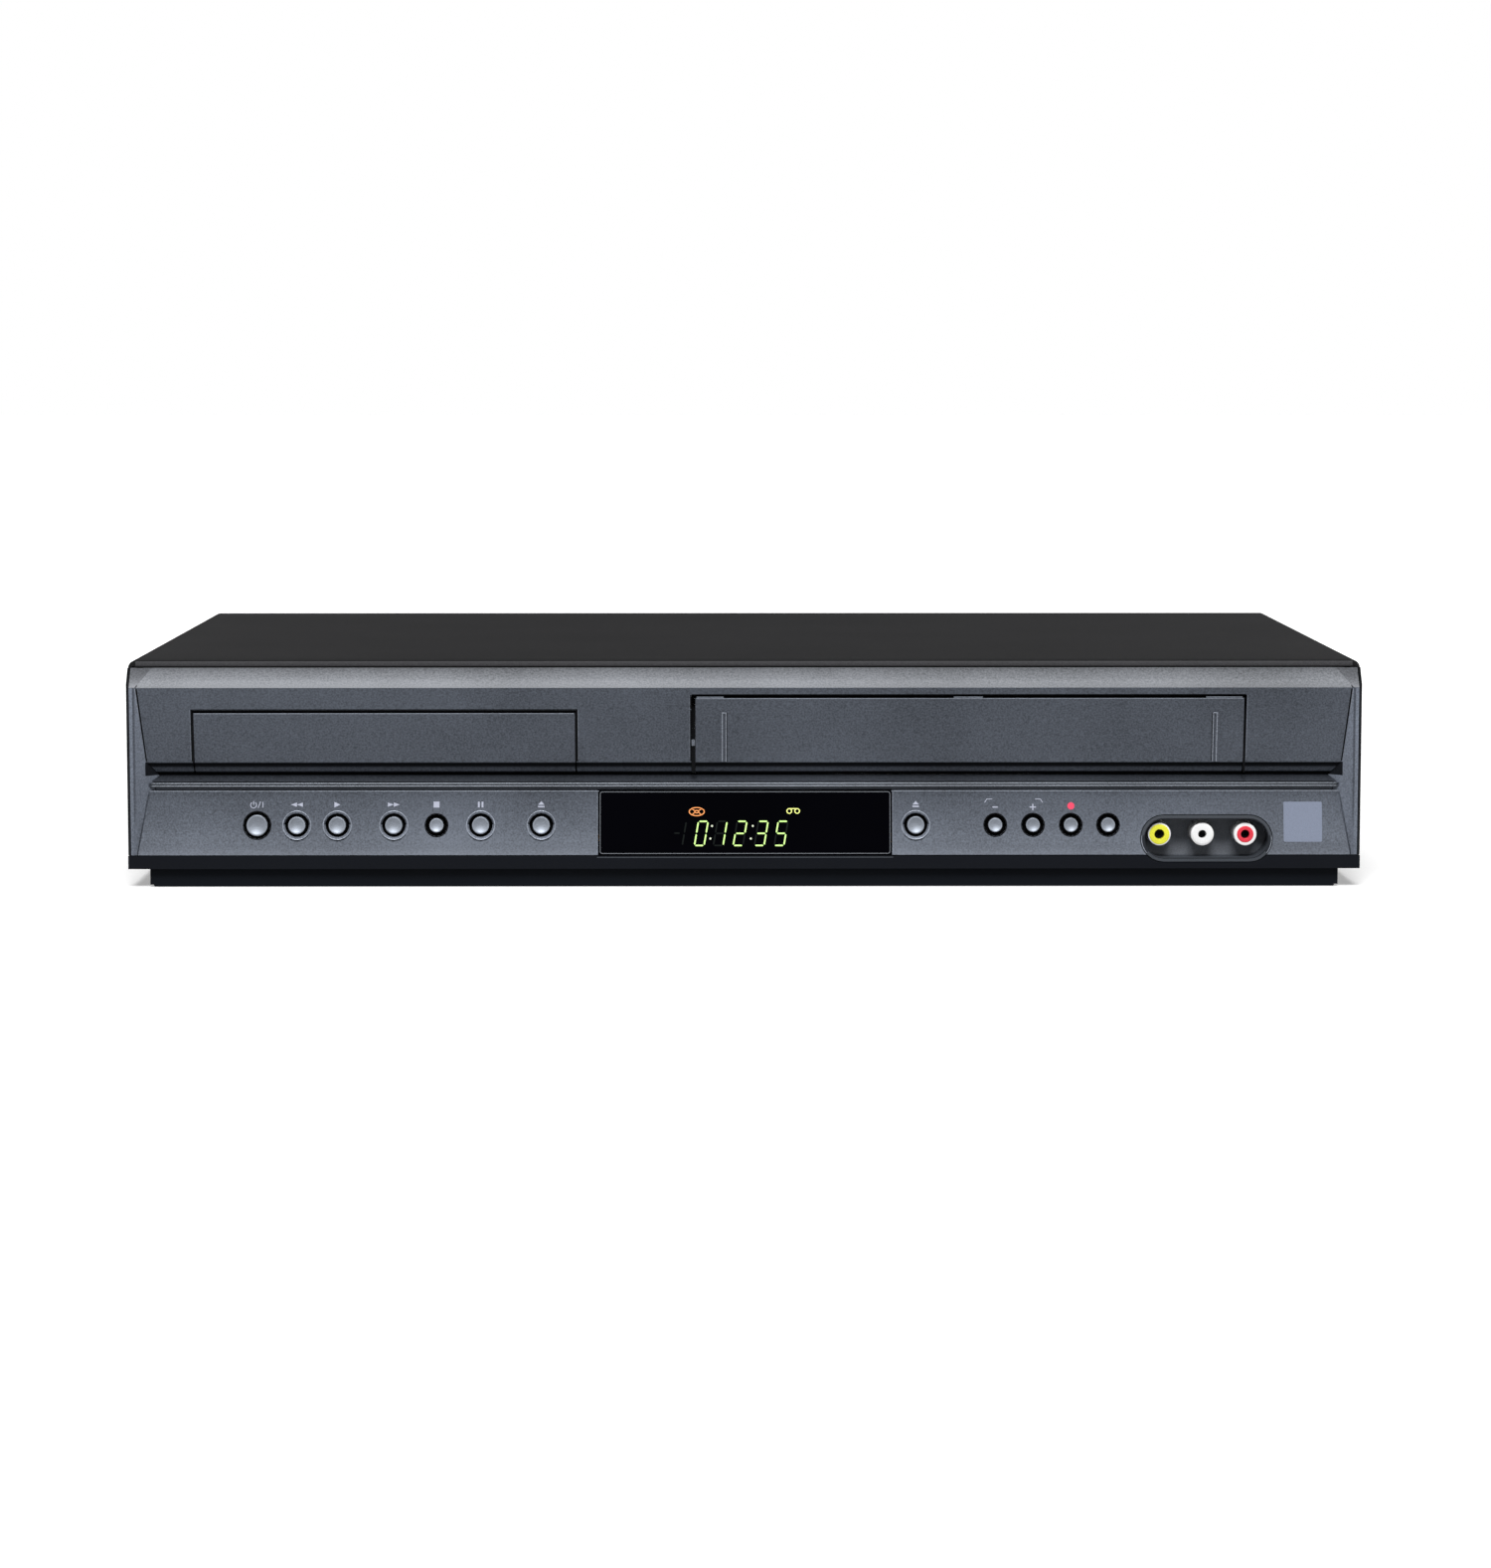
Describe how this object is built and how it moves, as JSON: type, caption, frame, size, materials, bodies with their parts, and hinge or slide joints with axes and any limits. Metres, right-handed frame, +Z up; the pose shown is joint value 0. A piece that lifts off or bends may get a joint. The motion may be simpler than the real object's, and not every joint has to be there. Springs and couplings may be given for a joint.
{
  "type": "dvd vcr combo player",
  "caption": "Slim free-standing disc and cassette player with a sliding disc tray, a swinging cassette door, push buttons, front jacks and its disc and tape drives inside.",
  "frame": {"origin": "middle of the footprint, on the surface that the player stands on", "axes": "+X to the right seen from the front, +Y to the back, +Z up"},
  "size_m": [0.435, 0.265, 0.08],
  "materials": {
    "black_plastic": "matte",
    "black_sheet": "fine matte black",
    "black_window": "gloss",
    "bright_plastic": "bright silver",
    "brown_board": "plain",
    "cast_alloy": "as cast",
    "green_board": "lacquered",
    "grey_plastic": "matte",
    "polished_steel": "polished",
    "rubber": "matte",
    "silver_plastic": "satin silver paint",
    "white_plastic": "satin",
    "zinc_sheet": "zinc plated"
  },
  "bodies": {
    "chassis": {"audio_control_head": "polished_steel", "base_chassis": "black_plastic", "clamp_bridge": "zinc_sheet", "deck_chassis": "zinc_sheet", "disc_loader_frame": "black_plastic", "display_window": "black_window", "front_board": "brown_board", "front_jack_block": "white_plastic", "front_left_foot": "rubber", "front_panel": "silver_plastic", "front_plinth": "black_plastic", "front_right_foot": "rubber", "jack_pocket": "grey_plastic", "left_end_cap": "silver_plastic", "loading_motor": "cast_alloy", "lower_drum": "cast_alloy", "main_board": "green_board", "mains_inlet": "black_plastic", "power_board": "brown_board", "rear_jack_block": "black_plastic", "rear_left_foot": "rubber", "rear_panel": "black_sheet", "rear_right_foot": "rubber", "right_end_cap": "silver_plastic", "spindle_motor": "cast_alloy", "top_cover": "black_sheet", "traverse_frame": "zinc_sheet", "tray_motor": "cast_alloy", "trim_bar": "bright_plastic"},
    "power_button": {"power_button": "bright_plastic"},
    "rewind_button": {"rewind_button": "bright_plastic"},
    "play_button": {"play_button": "bright_plastic"},
    "forward_button": {"forward_button": "bright_plastic"},
    "stop_button": {"stop_button": "bright_plastic"},
    "pause_button": {"pause_button": "bright_plastic"},
    "open_close_button": {"open_close_button": "bright_plastic"},
    "eject_button": {"eject_button": "bright_plastic"},
    "tracking_minus_button": {"tracking_minus_button": "bright_plastic"},
    "tracking_plus_button": {"tracking_plus_button": "bright_plastic"},
    "record_button": {"record_button": "bright_plastic"},
    "source_button": {"source_button": "bright_plastic"},
    "cassette_door": {"cassette_door": "silver_plastic"},
    "disc_tray": {"disc_tray": "black_plastic", "tray_front": "silver_plastic"},
    "tray_gear": {"tray_gear": "white_plastic"},
    "tray_motor_gear": {"tray_motor_gear": "white_plastic"},
    "turntable": {"turntable": "black_plastic"},
    "disc_clamp": {"disc_clamp": "white_plastic"},
    "optical_pickup": {"optical_pickup": "grey_plastic"},
    "sled_screw": {"sled_screw": "polished_steel"},
    "head_drum": {"head_drum": "polished_steel"},
    "capstan_flywheel": {"capstan_flywheel": "polished_steel"},
    "supply_reel": {"supply_reel": "grey_plastic"},
    "takeup_reel": {"takeup_reel": "grey_plastic"},
    "pinch_arm": {"pinch_arm": "zinc_sheet"},
    "pinch_roller": {"pinch_roller": "rubber"},
    "supply_guide": {"supply_guide": "cast_alloy"},
    "takeup_guide": {"takeup_guide": "cast_alloy"},
    "carrier_slider": {"carrier_slider": "zinc_sheet"},
    "cassette_carrier": {"cassette_carrier": "zinc_sheet"}
  },
  "joints": [
    {"name": "power_press", "type": "slide", "parent": "chassis", "child": "power_button", "axis": [0, 1, 0], "range_m": [0, 0.001], "stiffness_N_per_m": 60},
    {"name": "rewind_press", "type": "slide", "parent": "chassis", "child": "rewind_button", "axis": [0, 1, 0], "range_m": [0, 0.001], "stiffness_N_per_m": 60},
    {"name": "play_press", "type": "slide", "parent": "chassis", "child": "play_button", "axis": [0, 1, 0], "range_m": [0, 0.001], "stiffness_N_per_m": 60},
    {"name": "forward_press", "type": "slide", "parent": "chassis", "child": "forward_button", "axis": [0, 1, 0], "range_m": [0, 0.001], "stiffness_N_per_m": 60},
    {"name": "stop_press", "type": "slide", "parent": "chassis", "child": "stop_button", "axis": [0, 1, 0], "range_m": [0, 0.001], "stiffness_N_per_m": 60},
    {"name": "pause_press", "type": "slide", "parent": "chassis", "child": "pause_button", "axis": [0, 1, 0], "range_m": [0, 0.001], "stiffness_N_per_m": 60},
    {"name": "open_close_press", "type": "slide", "parent": "chassis", "child": "open_close_button", "axis": [0, 1, 0], "range_m": [0, 0.001], "stiffness_N_per_m": 60},
    {"name": "eject_press", "type": "slide", "parent": "chassis", "child": "eject_button", "axis": [0, 1, 0], "range_m": [0, 0.001], "stiffness_N_per_m": 60},
    {"name": "tracking_minus_press", "type": "slide", "parent": "chassis", "child": "tracking_minus_button", "axis": [0, 1, 0], "range_m": [0, 0.001], "stiffness_N_per_m": 60},
    {"name": "tracking_plus_press", "type": "slide", "parent": "chassis", "child": "tracking_plus_button", "axis": [0, 1, 0], "range_m": [0, 0.001], "stiffness_N_per_m": 60},
    {"name": "record_press", "type": "slide", "parent": "chassis", "child": "record_button", "axis": [0, 1, 0], "range_m": [0, 0.001], "stiffness_N_per_m": 60},
    {"name": "source_press", "type": "slide", "parent": "chassis", "child": "source_button", "axis": [0, 1, 0], "range_m": [0, 0.001], "stiffness_N_per_m": 60},
    {"name": "door_swing", "type": "hinge", "parent": "chassis", "child": "cassette_door", "pos_m": [0.07935, -0.13059, 0.0659], "axis": [1, 0, 0], "range_deg": [0, 85], "stiffness_Nm_per_rad": 0.01},
    {"name": "tray_slide", "type": "slide", "parent": "chassis", "child": "disc_tray", "axis": [0, -1, 0], "range_m": [0, 0.135]},
    {"name": "tray_gear_spin", "type": "hinge", "parent": "chassis", "child": "tray_gear", "pos_m": [-0.07755, -0.106, 0.0398], "axis": [0, 0, -1], "range_deg": [0, 970]},
    {"name": "tray_motor_spin", "type": "hinge", "parent": "chassis", "child": "tray_motor_gear", "pos_m": [-0.09275, -0.106, 0.0398], "axis": [0, 0, 1], "range_deg": [0, 2715]},
    {"name": "turntable_spin", "type": "hinge", "parent": "chassis", "child": "turntable", "pos_m": [-0.1269, -0.058, 0.0516], "axis": [0, 0, 1], "continuous": true},
    {"name": "clamp_spin", "type": "hinge", "parent": "chassis", "child": "disc_clamp", "pos_m": [-0.1269, -0.058, 0.057], "axis": [0, 0, 1], "continuous": true},
    {"name": "pickup_slide", "type": "slide", "parent": "chassis", "child": "optical_pickup", "axis": [0, 1, 0], "range_m": [0, 0.035]},
    {"name": "sled_screw_spin", "type": "hinge", "parent": "chassis", "child": "sled_screw", "pos_m": [-0.0979, -0.0448, 0.0436], "axis": [0, 1, 0], "range_deg": [0, 4210]},
    {"name": "drum_spin", "type": "hinge", "parent": "chassis", "child": "head_drum", "pos_m": [0.07935, 0.0517, 0.024], "axis": [0.1045, 0, 0.9945], "continuous": true},
    {"name": "capstan_spin", "type": "hinge", "parent": "chassis", "child": "capstan_flywheel", "pos_m": [0.12936, 0.016, 0.0175], "axis": [0, 0, 1], "continuous": true},
    {"name": "supply_reel_spin", "type": "hinge", "parent": "chassis", "child": "supply_reel", "pos_m": [0.03282, -0.0533, 0.0193], "axis": [0, 0, 1], "continuous": true},
    {"name": "takeup_reel_spin", "type": "hinge", "parent": "chassis", "child": "takeup_reel", "pos_m": [0.12588, -0.0533, 0.0193], "axis": [0, 0, 1], "continuous": true},
    {"name": "pinch_swing", "type": "hinge", "parent": "chassis", "child": "pinch_arm", "pos_m": [0.14736, 0.0072, 0.0193], "axis": [0, 0, -1], "range_deg": [0, 27]},
    {"name": "pinch_roller_spin", "type": "hinge", "parent": "pinch_arm", "child": "pinch_roller", "pos_m": [0.13132, -0.00097, 0.0193], "axis": [0, 0, 1], "continuous": true},
    {"name": "supply_guide_slide", "type": "slide", "parent": "chassis", "child": "supply_guide", "axis": [0, 1, 0], "range_m": [0, 0.065]},
    {"name": "takeup_guide_slide", "type": "slide", "parent": "chassis", "child": "takeup_guide", "axis": [0, 1, 0], "range_m": [0, 0.065]},
    {"name": "carrier_travel", "type": "slide", "parent": "chassis", "child": "carrier_slider", "axis": [0, 1, 0], "range_m": [0, 0.067]},
    {"name": "carrier_drop", "type": "slide", "parent": "carrier_slider", "child": "cassette_carrier", "axis": [0, 0, -1], "range_m": [0, 0.02]}
  ],
  "couplings": [
    {"joint": "tray_gear_spin", "follows": "tray_slide", "rad_per_m": 125},
    {"joint": "tray_motor_spin", "follows": "tray_slide", "rad_per_m": 350},
    {"joint": "clamp_spin", "follows": "turntable_spin", "ratio": 1},
    {"joint": "sled_screw_spin", "follows": "pickup_slide", "rad_per_m": 2094.4},
    {"joint": "takeup_guide_slide", "follows": "supply_guide_slide", "ratio": 1}
  ]
}
